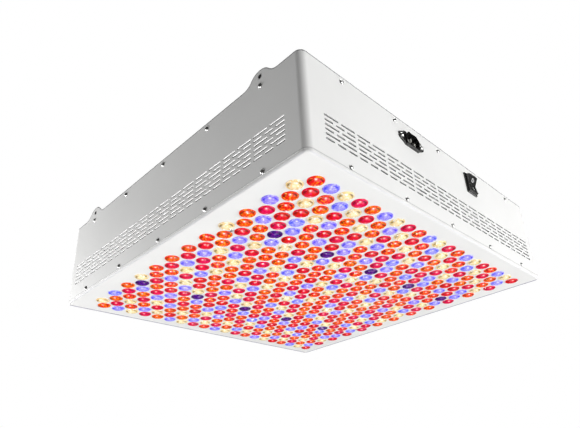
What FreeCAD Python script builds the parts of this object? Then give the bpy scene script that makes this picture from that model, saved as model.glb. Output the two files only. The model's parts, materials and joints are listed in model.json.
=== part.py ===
import FreeCAD, Part

# LED grow light: a square sheet-metal casing hung by four ears, with a lens plate underneath,
# four fans in its top cover, and a mains inlet and a rocker switch in its front wall.
# Millimetres, +Z up. The front wall faces -Y and the left wall faces -X.
# Heights in the sheet are measured from the lens plate's lower face. The finished light's origin
# is midway between the four hanging holes, so every sub-part is lowered by hang_height.

import math
import os
import re

import Sketcher
from FreeCAD import Placement, Rotation, Vector

DIMENSIONS = (
    ("panel_side", 500.0, "outer width and depth of the casing"),
    ("casing_top", 124.5, "height of the walls' top edge"),
    ("hang_height", 129.0, "height of the hanging holes"),
    ("wall_thickness", 1.2, "sheet thickness of walls and cover"),
    ("wall_foot", 4.2, "height of the walls' lower edge"),
    ("corner_radius", 8.0, "outside bend radius at the vertical corners"),
    ("corner_return", 12.0, "how far the front and back walls turn the corners"),
    ("screw_pitch", 94.5, "spacing of the casing screws along a wall"),
    ("screw_count", 5, "casing screws in each row"),
    ("screw_low", 7.7, "height of the lower screw row"),
    ("screw_high", 116.4, "height of the upper screw row"),
    ("screw_hole_radius", 1.8, "clearance hole of an M3 screw"),
    ("tapped_hole_radius", 1.6, "hole in a tab that an M3 screw holds in"),
    ("shank_radius", 1.5, "M3 shank"),
    ("head_radius", 3.1, "M3 pan head"),
    ("head_height", 2.0, "M3 pan head"),
    ("recess_radius", 1.3, "reach of the cross recess"),
    ("recess_width", 0.7, "width of each slot of the cross recess"),
    ("recess_depth", 1.0, "depth of the cross recess"),
    ("casing_screw_length", 6.0, "shank of a casing screw"),
    ("slot_height", 2.3, "vent slot"),
    ("slot_row_pitch", 5.72, "height between vent rows"),
    ("slot_top", 55.4, "height of the top vent row"),
    ("slot_rows", 6, "vent rows"),
    ("slot_shift", 3.3, "how far the vent band is off the wall's middle"),
    ("long_slot_length", 21.4, "long vent slot"),
    ("long_slot_pitch", 25.35, "spacing of long vent slots"),
    ("long_slot_count", 18, "long vent slots in a row"),
    ("short_slot_length", 12.9, "short vent slot"),
    ("short_slot_pitch", 16.9, "spacing of short vent slots"),
    ("short_slot_count", 27, "short vent slots in a row"),
    ("ear_base", 41.0, "width of a hanging ear where it leaves the wall"),
    ("ear_crown", 16.0, "width of the ear's top"),
    ("ear_rise", 13.2, "height of the ear above the wall"),
    ("ear_root", 3.0, "overlap of ear and wall"),
    ("ear_rounding", 17.0, "rounding of the ear's outline"),
    ("hang_hole_radius", 2.5, "hanging hole"),
    ("rim_height", 4.0, "height of the lens plate's rim"),
    ("rim_rounding", 2.5, "rounding of the rim's lower edge"),
    ("tray_thickness", 1.5, "lens plate"),
    ("tab_length", 470.0, "length of the folded tabs"),
    ("tab_gap", 0.1, "gap between a tab and the wall"),
    ("tray_tab_top", 16.0, "height of the lens plate's tabs"),
    ("cover_tab_foot", 112.5, "height of the lower edge of the cover's tabs"),
    ("lens_pitch", 22.4, "spacing of lenses in a row"),
    ("row_pitch", 18.25, "spacing of lens rows"),
    ("lens_columns", 20, "lenses in a row"),
    ("lens_rows", 25, "rows of lenses"),
    ("lens_hole_radius", 9.35, "hole in the plate for a lens"),
    ("lens_radius", 9.05, "lens body"),
    ("lens_crown_radius", 8.0, "foot of the lens's crown"),
    ("lens_rim_drop", 0.8, "how far the lens rim stands below the plate"),
    ("lens_crown_drop", 2.3, "how far the lens's crown stands below the plate"),
    ("lens_cup_radius", 4.4, "hollow over the emitter"),
    ("lens_cup_depth", 3.4, "hollow over the emitter"),
    ("emitter_radius", 3.6, "emitter's body"),
    ("emitter_base", 1.4, "height of the emitter's body"),
    ("emitter_dome", 1.9, "radius of the emitter's clear cap"),
    ("board_foot", 6.8, "height of the boards' lower face"),
    ("board_thickness", 1.6, "aluminium-core board"),
    ("board_columns", 5, "lens columns on one board"),
    ("board_gap", 1.5, "gap between boards"),
    ("board_length", 466.0, "length of a board"),
    ("spacer_radius", 2.7, "sleeve between plate and board"),
    ("plate_screw_columns", 6, "lens columns between plate screws"),
    ("plate_screw_row", 7, "lens row below the first line of plate screws"),
    ("plate_screw_row_far", 16, "lens row below the second line of plate screws"),
    ("plate_head_radius", 2.5, "low head of a plate screw"),
    ("plate_head_height", 1.2, "low head of a plate screw"),
    ("sink_width", 104.0, "heat sink"),
    ("sink_length", 440.0, "heat sink"),
    ("sink_base", 5.0, "thickness of the heat sink's base"),
    ("fin_height", 34.0, "heat sink fin"),
    ("fin_thickness", 1.6, "heat sink fin"),
    ("fin_count", 13, "fins on a heat sink"),
    ("fan_offset", 115.0, "fan axis from the casing's middle"),
    ("fan_side", 120.0, "fan frame"),
    ("fan_depth", 25.0, "fan frame"),
    ("fan_corner", 6.0, "rounding of the fan frame's corners"),
    ("fan_bore_radius", 58.0, "air way through the fan"),
    ("fan_hole_spacing", 105.0, "spacing of the fan's fixing holes"),
    ("fan_hole_radius", 2.2, "fan fixing hole"),
    ("fan_opening_radius", 56.0, "opening in the cover over a fan"),
    ("strut_width", 6.0, "arm that holds the motor"),
    ("strut_height", 3.0, "arm that holds the motor"),
    ("arm_root", 0.5, "how far an arm runs into the fan frame"),
    ("motor_plate_radius", 18.0, "disc that holds the motor"),
    ("bearing_radius", 4.0, "outside of the bearing tube"),
    ("bearing_length", 13.0, "bearing tube above the motor's disc"),
    ("bearing_bore_radius", 1.55, "bore that the fan's shaft turns in"),
    ("shaft_radius", 1.5, "fan shaft"),
    ("hub_radius", 19.0, "rotor's cup"),
    ("hub_wall", 2.0, "wall of the rotor's cup"),
    ("hub_clearance", 1.5, "gap between the rotor and the arms"),
    ("hub_height", 18.0, "rotor's cup"),
    ("blade_count", 7, "blades"),
    ("blade_tip_radius", 57.0, "blade tip"),
    ("blade_root_chord", 20.0, "blade width at the hub"),
    ("blade_tip_chord", 35.0, "blade width at the tip"),
    ("blade_root_pitch", 50.0, "blade angle at the hub, degrees"),
    ("blade_tip_pitch", 28.0, "blade angle at the tip, degrees"),
    ("blade_thickness", 1.5, "blade"),
    ("guard_wire_radius", 1.0, "wire of the finger guard"),
    ("guard_weld", 0.4, "depth that the guard's wires melt into each other"),
    ("guard_ring_count", 5, "rings of the finger guard"),
    ("guard_ring_first", 15.0, "radius of the smallest ring"),
    ("guard_ring_pitch", 10.0, "spacing of the rings"),
    ("eyelet_radius", 3.3, "loop at the end of a guard wire"),
    ("fan_screw_length", 16.0, "shank of a fan screw"),
    ("fan_shank_radius", 2.0, "shank of a fan screw"),
    ("fan_head_radius", 3.8, "head of a fan screw"),
    ("driver_offset", 122.0, "middle of an LED driver from the casing's middle"),
    ("driver_length", 160.0, "driver case"),
    ("driver_width", 46.0, "driver case"),
    ("driver_height", 34.0, "driver case"),
    ("driver_rounding", 2.0, "edges of the driver case"),
    ("flange_length", 184.0, "driver's mounting flange"),
    ("flange_thickness", 2.0, "driver's mounting flange"),
    ("flange_hole_reach", 86.0, "driver's fixing hole from its middle"),
    ("gland_radius", 5.0, "cable gland on a driver"),
    ("gland_length", 5.0, "cable gland on a driver"),
    ("nut_radius", 3.1, "corner radius of an M3 nut"),
    ("nut_height", 2.4, "M3 nut"),
    ("driver_screw_length", 8.0, "shank of a driver screw"),
    ("inlet_across", -65.5, "mains inlet from the wall's middle"),
    ("inlet_height", 98.9, "mains inlet"),
    ("inlet_flange_length", 50.0, "mains inlet flange"),
    ("inlet_flange_height", 20.0, "mains inlet flange"),
    ("inlet_flange_end", 7.0, "height of the flange at its narrow ends"),
    ("inlet_flange_flat", 24.0, "length of the flange's full-height part"),
    ("inlet_flange_thickness", 2.0, "mains inlet flange"),
    ("inlet_flange_rounding", 2.5, "corners of the flange"),
    ("inlet_edge_rounding", 0.7, "front edges of flange and collar"),
    ("collar_length", 27.0, "collar around the socket"),
    ("collar_height", 19.6, "collar around the socket"),
    ("collar_chamfer", 5.0, "cut upper corners of the collar"),
    ("collar_rise", 2.2, "how far the collar stands out from the flange"),
    ("inlet_body_length", 27.6, "inlet body through the wall"),
    ("inlet_body_height", 19.8, "inlet body through the wall"),
    ("inlet_body_depth", 23.0, "inlet body behind the wall's face"),
    ("inlet_cut_clearance", 0.4, "gap around the bodies in the wall's cut-outs"),
    ("socket_length", 24.4, "hollow that the connector fills"),
    ("socket_height", 16.6, "hollow that the connector fills"),
    ("socket_depth", 17.5, "hollow that the connector fills"),
    ("socket_chamfer", 5.0, "cut corners of the socket"),
    ("pin_spacing", 14.0, "live to neutral pin"),
    ("pin_rise", 2.0, "how far the earth pin is above the socket's middle"),
    ("pin_width", 2.0, "pin"),
    ("pin_tall", 4.0, "pin"),
    ("pin_recess", 3.0, "pin tips behind the collar's face"),
    ("pin_tail", 33.0, "depth of the pins' tails behind the wall's face"),
    ("pin_play", 0.05, "gap around a pin in its seat"),
    ("inlet_screw_spacing", 40.0, "mains inlet fixing holes"),
    ("inlet_screw_length", 9.0, "shank of an inlet screw"),
    ("switch_across", 75.0, "rocker switch from the wall's middle"),
    ("switch_height", 96.0, "rocker switch"),
    ("bezel_width", 25.0, "switch bezel"),
    ("bezel_tall", 31.0, "switch bezel"),
    ("bezel_thickness", 2.0, "switch bezel"),
    ("bezel_rounding", 1.2, "corners of the bezel"),
    ("switch_body_width", 22.4, "switch body through the wall"),
    ("switch_body_tall", 29.2, "switch body through the wall"),
    ("switch_body_depth", 26.0, "switch body behind the wall's face"),
    ("switch_well_width", 20.2, "hollow that the rocker swings in"),
    ("switch_well_tall", 28.0, "hollow that the rocker swings in"),
    ("switch_well_depth", 9.0, "hollow that the rocker swings in"),
    ("rocker_width", 19.6, "rocker"),
    ("rocker_radius", 13.7, "reach of the rocker's ends from its pivot"),
    ("rocker_valley", 3.0, "face of the rocker at its pivot"),
    ("rocker_tip", 6.6, "face of the rocker at its ends"),
    ("rocker_back", 3.0, "back of the rocker behind its pivot"),
    ("rocker_throw", 8.0, "tilt of the rocker each way, degrees"),
    ("pivot_radius", 1.2, "rocker's pivot stub"),
    ("pivot_play", 0.05, "gap around the pivot stub"),
    ("pivot_length", 0.9, "rocker's pivot stub"),
    ("terminal_rise", 7.0, "switch terminal from the switch's middle"),
    ("terminal_width", 6.3, "switch terminal"),
    ("terminal_thickness", 0.8, "switch terminal"),
    ("terminal_length", 8.0, "switch terminal behind the body"),
    ("block_setback", 232.0, "terminal block in front of the casing's middle"),
    ("block_length", 44.0, "terminal block"),
    ("block_width", 18.0, "terminal block"),
    ("block_height", 15.0, "terminal block"),
    ("block_pitch", 14.0, "spacing of the ways of the terminal block"),
    ("block_ways", 3, "ways of the terminal block"),
    ("block_hole_radius", 2.4, "wire hole of the terminal block"),
    ("block_hole_depth", 6.0, "wire hole of the terminal block"),
    ("lead_radius", 1.3, "mains lead"),
    ("lead_setback", 209.5, "run of the mains leads behind the front wall"),
    ("lead_drop", 10.0, "how far the neutral lead runs below the inlet"),
    ("stud_setback", 199.0, "earth stud in front of the casing's middle"),
    ("stud_length", 9.0, "earth stud below the cover"),
    ("stud_radius", 2.0, "earth stud"),
)

# Colours of the lenses, row by row from the front. Each row repeats its four colours from left to right.
COLOUR_NAMES = {"O": "orange", "R": "red", "B": "blue", "W": "white", "V": "violet"}
ROW_COLOURS = (
    "OBWR", "WROB", "OWOR", "BORW", "RRBO", "OBRB", "OOVR", "WROB", "OBWO", "OORR", "RWBO", "OBOW", "RROO",
    "OBRW", "RWBO", "OORR", "OBWR", "WROB", "VORR", "OBRB", "ROBR", "BORW", "OWOR", "WROB", "OBWR",
)

ALIASES = {name for name, _, _ in DIMENSIONS}
SIDES = (-1, 1)
FULL_TURN = 360
HALF_TURN = 180
QUARTER_TURN = 90
QUARTERS = range(4)
TOUCHING = 0.01
X_AXIS, Y_AXIS, Z_AXIS = Vector(1, 0, 0), Vector(0, 1, 0), Vector(0, 0, 1)
WALL_FACE = "panel_side / 2"

doc = FreeCAD.newDocument("grow_light")
sheet = doc.addObject("Spreadsheet::Sheet", "Dims")
sub_parts = []


def fill_sheet():
    for row, (name, value, meaning) in enumerate(DIMENSIONS, start=1):
        sheet.set(f"A{row}", meaning)
        sheet.set(f"B{row}", str(value))
        sheet.setAlias(f"B{row}", name)
    doc.recompute()


def bound(expression):
    """The same expression with each dimension's name pointing at its cell."""
    return re.sub(r"[a-z_]+", lambda word: f"Dims.{word[0]}" if word[0] in ALIASES else word[0], expression)


def size(expression):
    """The present value of an expression in the sheet's dimensions."""
    result = sheet.evalExpression(bound(expression))
    return float(getattr(result, "Value", result))


# ---- bodies, sketches and features -------------------------------------------------------------


def finish(thing, label, turn=0.0):
    """Names a sub-part and puts it in the hanging light's frame."""
    thing.Label = label
    thing.Placement = Placement(Vector(0, 0, 0), Rotation(Z_AXIS, turn))
    thing.setExpression("Placement.Base.z", bound("-hang_height"))
    sub_parts.append(thing)
    return thing


def new_body(label, turn=0.0):
    return finish(doc.addObject("PartDesign::Body", label), label, turn)


def origin_feature(body, role):
    return next(item for item in body.Origin.OriginFeatures if item.Role == role)


def new_sketch(body, role, lift="0"):
    sketch = body.newObject("Sketcher::SketchObject", "Sketch")
    sketch.AttachmentSupport = (origin_feature(body, role), [""])
    sketch.MapMode = "FlatFace"
    sketch.setExpression("AttachmentOffset.Base.z", bound(lift))
    return sketch


def fix(sketch, kind, *where, to):
    index = sketch.addConstraint(Sketcher.Constraint(kind, *where, size(to)))
    sketch.setExpression(f"Constraints[{index}]", bound(to))


def pin_point(sketch, edge, end, across, up):
    """Holds one point of a sketch at its distances from the sketch's origin."""
    if abs(size(across)) > 0:
        fix(sketch, "DistanceX", -1, 1, edge, end, to=across)
    else:
        sketch.addConstraint(Sketcher.Constraint("PointOnObject", edge, end, -2))
    if abs(size(up)) > 0:
        fix(sketch, "DistanceY", -1, 1, edge, end, to=up)
    else:
        sketch.addConstraint(Sketcher.Constraint("PointOnObject", edge, end, -1))


def polygon(sketch, corners):
    """A closed outline whose corners are pairs of expressions."""
    first = sketch.GeometryCount
    points = [Vector(size(across), size(up), 0) for across, up in corners]
    for start, end in zip(points, points[1:] + points[:1]):
        sketch.addGeometry(Part.LineSegment(start, end), False)
    for index in range(len(points)):
        following = first + (index + 1) % len(points)
        sketch.addConstraint(Sketcher.Constraint("Coincident", first + index, 2, following, 1))
    for index, (across, up) in enumerate(corners):
        pin_point(sketch, first + index, 1, across, up)


def rectangle(sketch, across, up, width, height):
    """A rectangle given by its middle and its sides."""
    left, right = f"({across}) - ({width}) / 2", f"({across}) + ({width}) / 2"
    low, high = f"({up}) - ({height}) / 2", f"({up}) + ({height}) / 2"
    polygon(sketch, ((left, low), (right, low), (right, high), (left, high)))


def circle(sketch, across, up, radius):
    centre = Vector(size(across), size(up), 0)
    edge = sketch.addGeometry(Part.Circle(centre, Z_AXIS, size(radius)), False)
    pin_point(sketch, edge, 3, across, up)
    fix(sketch, "Radius", edge, to=radius)


def obround(sketch, across, up, length, height):
    """A slot with round ends, given by its middle."""
    middle = Vector(size(across), size(up), 0)
    radius = size(height) / 2
    reach, rise = Vector(size(length) / 2 - radius, 0, 0), Vector(0, radius, 0)
    low, right, high, left = range(sketch.GeometryCount, sketch.GeometryCount + 4)
    for side, start in ((1, -math.pi / 2), (-1, math.pi / 2)):
        straight = Part.LineSegment(middle - (reach + rise) * side, middle + (reach - rise) * side)
        round_end = Part.Circle(middle + reach * side, Z_AXIS, radius)
        sketch.addGeometry(straight, False)
        sketch.addGeometry(Part.ArcOfCircle(round_end, start, start + math.pi), False)
    for edge, following in ((low, right), (right, high), (high, left), (left, low)):
        sketch.addConstraint(Sketcher.Constraint("Tangent", edge, 2, following, 1))
    sketch.addConstraint(Sketcher.Constraint("Horizontal", low))
    sketch.addConstraint(Sketcher.Constraint("Equal", right, left))
    fix(sketch, "Radius", right, to=f"({height}) / 2")
    fix(sketch, "DistanceX", left, 3, right, 3, to=f"({length}) - ({height})")
    pin_point(sketch, left, 3, f"({across}) - (({length}) - ({height})) / 2", up)


def pad(body, sketch, length, backwards=False):
    feature = body.newObject("PartDesign::Pad", "Pad")
    feature.Profile = sketch
    feature.setExpression("Length", bound(length))
    feature.Reversed = backwards
    return feature


def pocket(body, sketch, depth=None, backwards=False, both_ways=False):
    """Cuts away from the sketch's normal, through everything unless a depth is given."""
    feature = body.newObject("PartDesign::Pocket", "Pocket")
    feature.Profile = sketch
    feature.Reversed = backwards
    feature.Midplane = both_ways
    if depth is None:
        feature.Type = "ThroughAll"
    else:
        feature.setExpression("Length", bound(depth))
    return feature


def row_of(body, original, axis, span, count):
    """Repeats a feature along one of the body's axes."""
    pattern = body.newObject("PartDesign::LinearPattern", "Row")
    pattern.Originals = [original]
    set_row(body, pattern, axis, span, count)
    body.Tip = pattern
    return pattern


def set_row(body, pattern, axis, span, count):
    pattern.Direction = (origin_feature(body, axis), [""])
    pattern.setExpression("Length", bound(span))
    pattern.setExpression("Occurrences", bound(count))


def grid_of(body, original, rows):
    """Repeats a feature along several of the body's axes, each given as axis, span and count."""
    grid = body.newObject("PartDesign::MultiTransform", "Grid")
    grid.Originals = [original]
    patterns = []
    for axis, span, count in rows:
        pattern = body.newObject("PartDesign::LinearPattern", "Row")
        set_row(body, pattern, axis, span, count)
        patterns.append(pattern)
    grid.Transformations = patterns
    body.Tip = grid
    return grid


def fillet(body, base, wanted, radius):
    """Rounds the edges of a feature whose middle point the test accepts."""
    doc.recompute()
    edges = []
    for number, edge in enumerate(base.Shape.Edges, start=1):
        middle = edge.valueAt((edge.FirstParameter + edge.LastParameter) / 2)
        if wanted(edge, middle):
            edges.append(f"Edge{number}")
    feature = body.newObject("PartDesign::Fillet", "Fillet")
    feature.Base = (base, edges)
    feature.setExpression("Radius", bound(radius))
    return feature


def runs_along(edge, axis):
    """True for a straight edge parallel to an axis."""
    start, end = edge.Vertexes[0].Point, edge.Vertexes[-1].Point
    span = end - start
    return span.Length > 0 and abs(abs(span.dot(axis)) - span.Length) < TOUCHING


def add_shape(label, shape):
    """A sub-part whose shape is worked out by code from the sheet's sizes."""
    thing = doc.addObject("Part::Feature", label)
    thing.Shape = Part.makeCompound(shape.Solids)
    return finish(thing, label)


# ---- casing ------------------------------------------------------------------------------------


def wall_slots(body, role, lift, axis):
    """The vent band of one wall: rows of long slots between rows of short ones."""
    for first_row, kind in enumerate(("long", "short")):
        span = f"({kind}_slot_count - 1) * {kind}_slot_pitch"
        sketch = new_sketch(body, role, lift)
        for row in range(first_row, int(size("slot_rows")), 2):
            height = f"slot_top - {row} * slot_row_pitch"
            obround(sketch, f"slot_shift - ({span}) / 2", height, f"{kind}_slot_length", "slot_height")
        cut = pocket(body, sketch, both_ways=True)
        row_of(body, cut, axis, span, f"{kind}_slot_count")


def wall_screw_holes(body, role, lift, axis):
    sketch = new_sketch(body, role, lift)
    for height in ("screw_low", "screw_high"):
        circle(sketch, "-(screw_count - 1) * screw_pitch / 2", height, "screw_hole_radius")
    cut = pocket(body, sketch, both_ways=True)
    row_of(body, cut, axis, "(screw_count - 1) * screw_pitch", "screw_count")


def long_wall(label, turn, with_sockets):
    """Front or back wall, with both ends bent round the casing's corners."""
    body = new_body(label, turn)
    outline = new_sketch(body, "XY_Plane", "wall_foot")
    rectangle(outline, "0", "(corner_return - panel_side) / 2", "panel_side", "corner_return")
    pad(body, outline, "casing_top - wall_foot")
    hollow = new_sketch(body, "XY_Plane", "wall_foot")
    rectangle(
        hollow, "0", "corner_return - panel_side / 2 - (corner_return - wall_thickness) / 2",
        "panel_side - 2 * wall_thickness", "corner_return - wall_thickness",
    )
    inside = pocket(body, hollow, backwards=True)
    face = size("-panel_side / 2")
    outer = fillet(
        body, inside, lambda edge, at: runs_along(edge, Z_AXIS) and abs(at.y - face) < TOUCHING,
        "corner_radius",
    )
    inner_face = face + size("wall_thickness")
    fillet(
        body, outer,
        lambda edge, at: runs_along(edge, Z_AXIS) and abs(at.y - inner_face) < TOUCHING,
        "corner_radius - wall_thickness",
    )
    wall_slots(body, "XZ_Plane", WALL_FACE, "X_Axis")
    wall_screw_holes(body, "XZ_Plane", WALL_FACE, "X_Axis")
    if with_sockets:
        openings = new_sketch(body, "XZ_Plane", WALL_FACE)
        rectangle(
            openings, "inlet_across", "inlet_height",
            "inlet_body_length + inlet_cut_clearance", "inlet_body_height + inlet_cut_clearance",
        )
        rectangle(
            openings, "switch_across", "switch_height",
            "switch_body_width + inlet_cut_clearance", "switch_body_tall + inlet_cut_clearance",
        )
        for side in SIDES:
            across = f"inlet_across + ({side}) * inlet_screw_spacing / 2"
            circle(openings, across, "inlet_height", "screw_hole_radius")
        pocket(body, openings, both_ways=True)
    return body


def ear_wall(label, turn):
    """Left or right wall: flat, with two hanging ears standing on its top edge."""
    body = new_body(label, turn)
    panel = new_sketch(body, "YZ_Plane", "-panel_side / 2")
    rectangle(
        panel, "0", "(casing_top + wall_foot) / 2",
        "panel_side - 2 * corner_return", "casing_top - wall_foot",
    )
    pad(body, panel, "wall_thickness")
    ears = new_sketch(body, "YZ_Plane", "-panel_side / 2")
    for side in SIDES:
        centre = f"({side}) * (screw_count - 1) * screw_pitch / 2"
        polygon(
            ears,
            (
                (f"{centre} - ear_base / 2", "casing_top - ear_root"),
                (f"{centre} + ear_base / 2", "casing_top - ear_root"),
                (f"{centre} + ear_base / 2", "casing_top"),
                (f"{centre} + ear_crown / 2", "casing_top + ear_rise"),
                (f"{centre} - ear_crown / 2", "casing_top + ear_rise"),
                (f"{centre} - ear_base / 2", "casing_top"),
            ),
        )
    blank = pad(body, ears, "wall_thickness")
    top = size("casing_top")
    reach = size("(screw_count - 1) * screw_pitch / 2 + ear_base")

    def bends(edge, at):
        return runs_along(edge, X_AXIS) and at.z > top - TOUCHING and abs(at.y) < reach

    fillet(body, blank, bends, "ear_rounding")
    holes = new_sketch(body, "YZ_Plane", "-panel_side / 2")
    for side in SIDES:
        circle(holes, f"({side}) * (screw_count - 1) * screw_pitch / 2", "hang_height", "hang_hole_radius")
    pocket(body, holes, both_ways=True)
    wall_slots(body, "YZ_Plane", "-panel_side / 2", "Y_Axis")
    wall_screw_holes(body, "YZ_Plane", "-panel_side / 2", "Y_Axis")
    return body


def folded_tabs(body, foot, top, from_above):
    """Four straight tabs just inside the walls."""
    sketch = new_sketch(body, "XY_Plane", top if from_above else foot)
    reach = "(panel_side - 2 * wall_thickness - 2 * tab_gap - wall_thickness) / 2"
    for side in SIDES:
        rectangle(sketch, "0", f"({side}) * ({reach})", "tab_length", "wall_thickness")
        rectangle(sketch, f"({side}) * ({reach})", "0", "wall_thickness", "tab_length")
    pad(body, sketch, f"({top}) - ({foot})", backwards=from_above)


def tab_holes(body, height):
    """Holes for the casing screws through all four tabs."""
    for role, axis in (("XZ_Plane", "X_Axis"), ("YZ_Plane", "Y_Axis")):
        sketch = new_sketch(body, role)
        circle(sketch, "-(screw_count - 1) * screw_pitch / 2", height, "tapped_hole_radius")
        cut = pocket(body, sketch, both_ways=True)
        row_of(body, cut, axis, "(screw_count - 1) * screw_pitch", "screw_count")


# Middles of the first lens in the even and odd rows, counted from the front row as row 0.
FIRST_ACROSS = {
    0: "-(lens_columns - 1) * lens_pitch / 2 + lens_pitch / 4",
    1: "-(lens_columns - 1) * lens_pitch / 2 - lens_pitch / 4",
}
FIRST_ROW = "-(lens_rows - 1) * row_pitch / 2"
# In a triangle of three lenses, the point that is equally far from all three lies this far from the pair.
TRIANGLE_RISE = "(row_pitch * row_pitch - lens_pitch * lens_pitch / 4) / (2 * row_pitch)"


def plate_screw_rows():
    """Expressions for the first plate screw of each line: across and up. Each line has four."""
    near = (FIRST_ACROSS[0], f"{FIRST_ROW} + plate_screw_row * row_pitch + {TRIANGLE_RISE}")
    far = (
        f"{FIRST_ACROSS[1]} + lens_pitch",
        f"{FIRST_ROW} + plate_screw_row_far * row_pitch + {TRIANGLE_RISE}",
    )
    return near, far


PLATE_SCREWS_IN_LINE = 4


def plate_screw_places():
    pitch = size("plate_screw_columns * lens_pitch")
    return [
        (size(across) + column * pitch, size(up))
        for across, up in plate_screw_rows()
        for column in range(PLATE_SCREWS_IN_LINE)
    ]


def plate_screw_holes(body):
    sketch = new_sketch(body, "XY_Plane")
    for across, up in plate_screw_rows():
        circle(sketch, across, up, "screw_hole_radius")
    cut = pocket(body, sketch, both_ways=True)
    span = f"{PLATE_SCREWS_IN_LINE - 1} * plate_screw_columns * lens_pitch"
    row_of(body, cut, "X_Axis", span, str(PLATE_SCREWS_IN_LINE))


def lens_tray():
    """The lens plate: a shallow pan with a rounded rim, folded tabs and a hole for each lens."""
    body = new_body("lens_tray")
    slab = new_sketch(body, "XY_Plane")
    rectangle(slab, "0", "0", "panel_side", "panel_side")
    block = pad(body, slab, "rim_height")
    corners = fillet(body, block, lambda edge, at: runs_along(edge, Z_AXIS), "corner_radius")
    rim = fillet(body, corners, lambda edge, at: at.z < TOUCHING, "rim_rounding")
    well = new_sketch(body, "XY_Plane", "tray_thickness")
    inner_side = "panel_side - 4 * wall_thickness - 2 * tab_gap"
    rectangle(well, "0", "0", inner_side, inner_side)
    pan = pocket(body, well, backwards=True)
    half = size(f"({inner_side}) / 2")

    def well_corner(edge, at):
        off = max(abs(abs(at.x) - half), abs(abs(at.y) - half))
        return runs_along(edge, Z_AXIS) and off < TOUCHING

    fillet(body, pan, well_corner, "corner_radius - rim_rounding")
    folded_tabs(body, "tray_thickness", "tray_tab_top", from_above=False)
    for parity, rows in ((0, "(lens_rows + 1) / 2"), (1, "(lens_rows - 1) / 2")):
        sketch = new_sketch(body, "XY_Plane")
        circle(sketch, FIRST_ACROSS[parity], f"{FIRST_ROW} + {parity} * row_pitch", "lens_hole_radius")
        hole = pocket(body, sketch, both_ways=True)
        grid_of(
            body, hole,
            (
                ("X_Axis", "(lens_columns - 1) * lens_pitch", "lens_columns"),
                ("Y_Axis", f"(({rows}) - 1) * 2 * row_pitch", rows),
            ),
        )
    plate_screw_holes(body)
    tab_holes(body, "screw_low")
    return body


def top_cover():
    """The cover: a flat sheet inside the walls, with folded tabs and four round fan openings."""
    body = new_body("top_cover")
    side = "panel_side - 2 * wall_thickness - 2 * tab_gap"
    sheet_sketch = new_sketch(body, "XY_Plane", "casing_top - wall_thickness")
    rectangle(sheet_sketch, "0", "0", side, side)
    plate = pad(body, sheet_sketch, "wall_thickness")
    fillet(body, plate, lambda edge, at: runs_along(edge, Z_AXIS), "corner_radius")
    folded_tabs(body, "cover_tab_foot", "casing_top", from_above=True)
    fans = new_sketch(body, "XY_Plane", "casing_top")
    for across in SIDES:
        for up in SIDES:
            centre = (f"({across}) * fan_offset", f"({up}) * fan_offset")
            circle(fans, *centre, "fan_opening_radius")
            for dx in SIDES:
                for dy in SIDES:
                    circle(
                        fans, f"{centre[0]} + ({dx}) * fan_hole_spacing / 2",
                        f"{centre[1]} + ({dy}) * fan_hole_spacing / 2", "fan_hole_radius",
                    )
    pocket(body, fans, both_ways=True)
    driver_holes = new_sketch(body, "XY_Plane", "casing_top")
    for side_sign in SIDES:
        for reach in ("driver_offset - flange_hole_reach", "driver_offset + flange_hole_reach"):
            circle(driver_holes, f"({side_sign}) * ({reach})", "0", "screw_hole_radius")
            circle(driver_holes, "0", f"({side_sign}) * ({reach})", "screw_hole_radius")
    pocket(body, driver_holes, both_ways=True)
    tab_holes(body, "screw_high")
    return body


# ---- screws and other fixings ------------------------------------------------------------------


def cross_recess(height):
    """The cutter for a cross recess whose top is at the given height."""
    reach, width, depth = size("recess_radius"), size("recess_width"), size("recess_depth")
    arm = Part.makeBox(2 * reach, width, depth, Vector(-reach, -width / 2, height - depth))
    other = arm.copy()
    other.rotate(Vector(0, 0, 0), Z_AXIS, QUARTER_TURN)
    return arm.fuse(other)


def pan_screw(shank_radius, shank_length, head_radius, head_height):
    """A screw along Z: shank below 0, domed head above it with a cross recess."""
    dome = Part.makeSphere(head_radius * head_radius / (2 * head_height) + head_height / 2)
    dome.translate(Vector(0, 0, head_height - dome.BoundBox.ZMax))
    head = dome.common(Part.makeCylinder(head_radius, head_height))
    head = head.cut(cross_recess(head_height))
    shank = Part.makeCylinder(shank_radius, shank_length, Vector(0, 0, -shank_length))
    return head.fuse(shank).removeSplitter()


def placed(shape, position, rotation=Rotation()):
    copy = shape.copy()
    copy.Placement = Placement(position, rotation)
    return copy


def solids_of(shapes):
    return Part.makeCompound([solid for shape in shapes for solid in shape.Solids])


def casing_screws():
    """Two rows of screws in each wall, heads outside."""
    screw = pan_screw(
        size("shank_radius"), size("casing_screw_length"), size("head_radius"), size("head_height")
    )
    outward = Rotation(X_AXIS, QUARTER_TURN)
    pitch, count = size("screw_pitch"), int(size("screw_count"))
    screws = []
    for wall in QUARTERS:
        turn = Rotation(Z_AXIS, wall * QUARTER_TURN)
        for height in (size("screw_low"), size("screw_high")):
            for column in range(count):
                across = (column - (count - 1) / 2) * pitch
                spot = turn.multVec(Vector(across, size("-panel_side / 2"), height))
                screws.append(placed(screw, spot, turn.multiply(outward)))
    add_shape("casing_screws", solids_of(screws))


def plate_fixings():
    """Screws up through plate, spacer, board and heat sink, and the spacers."""
    head = size("plate_head_height")
    length = size("board_foot + board_thickness + sink_base")
    screw = pan_screw(size("shank_radius"), length, size("plate_head_radius"), head)
    spacer = Part.makeCylinder(size("spacer_radius"), size("board_foot - tray_thickness")).cut(
        Part.makeCylinder(size("screw_hole_radius"), size("board_foot"))
    )
    downward = Rotation(X_AXIS, HALF_TURN)
    places = plate_screw_places()
    add_shape("plate_screws", solids_of([placed(screw, Vector(x, y, 0), downward) for x, y in places]))
    lift = size("tray_thickness")
    add_shape("plate_spacers", solids_of([placed(spacer, Vector(x, y, lift)) for x, y in places]))


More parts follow.
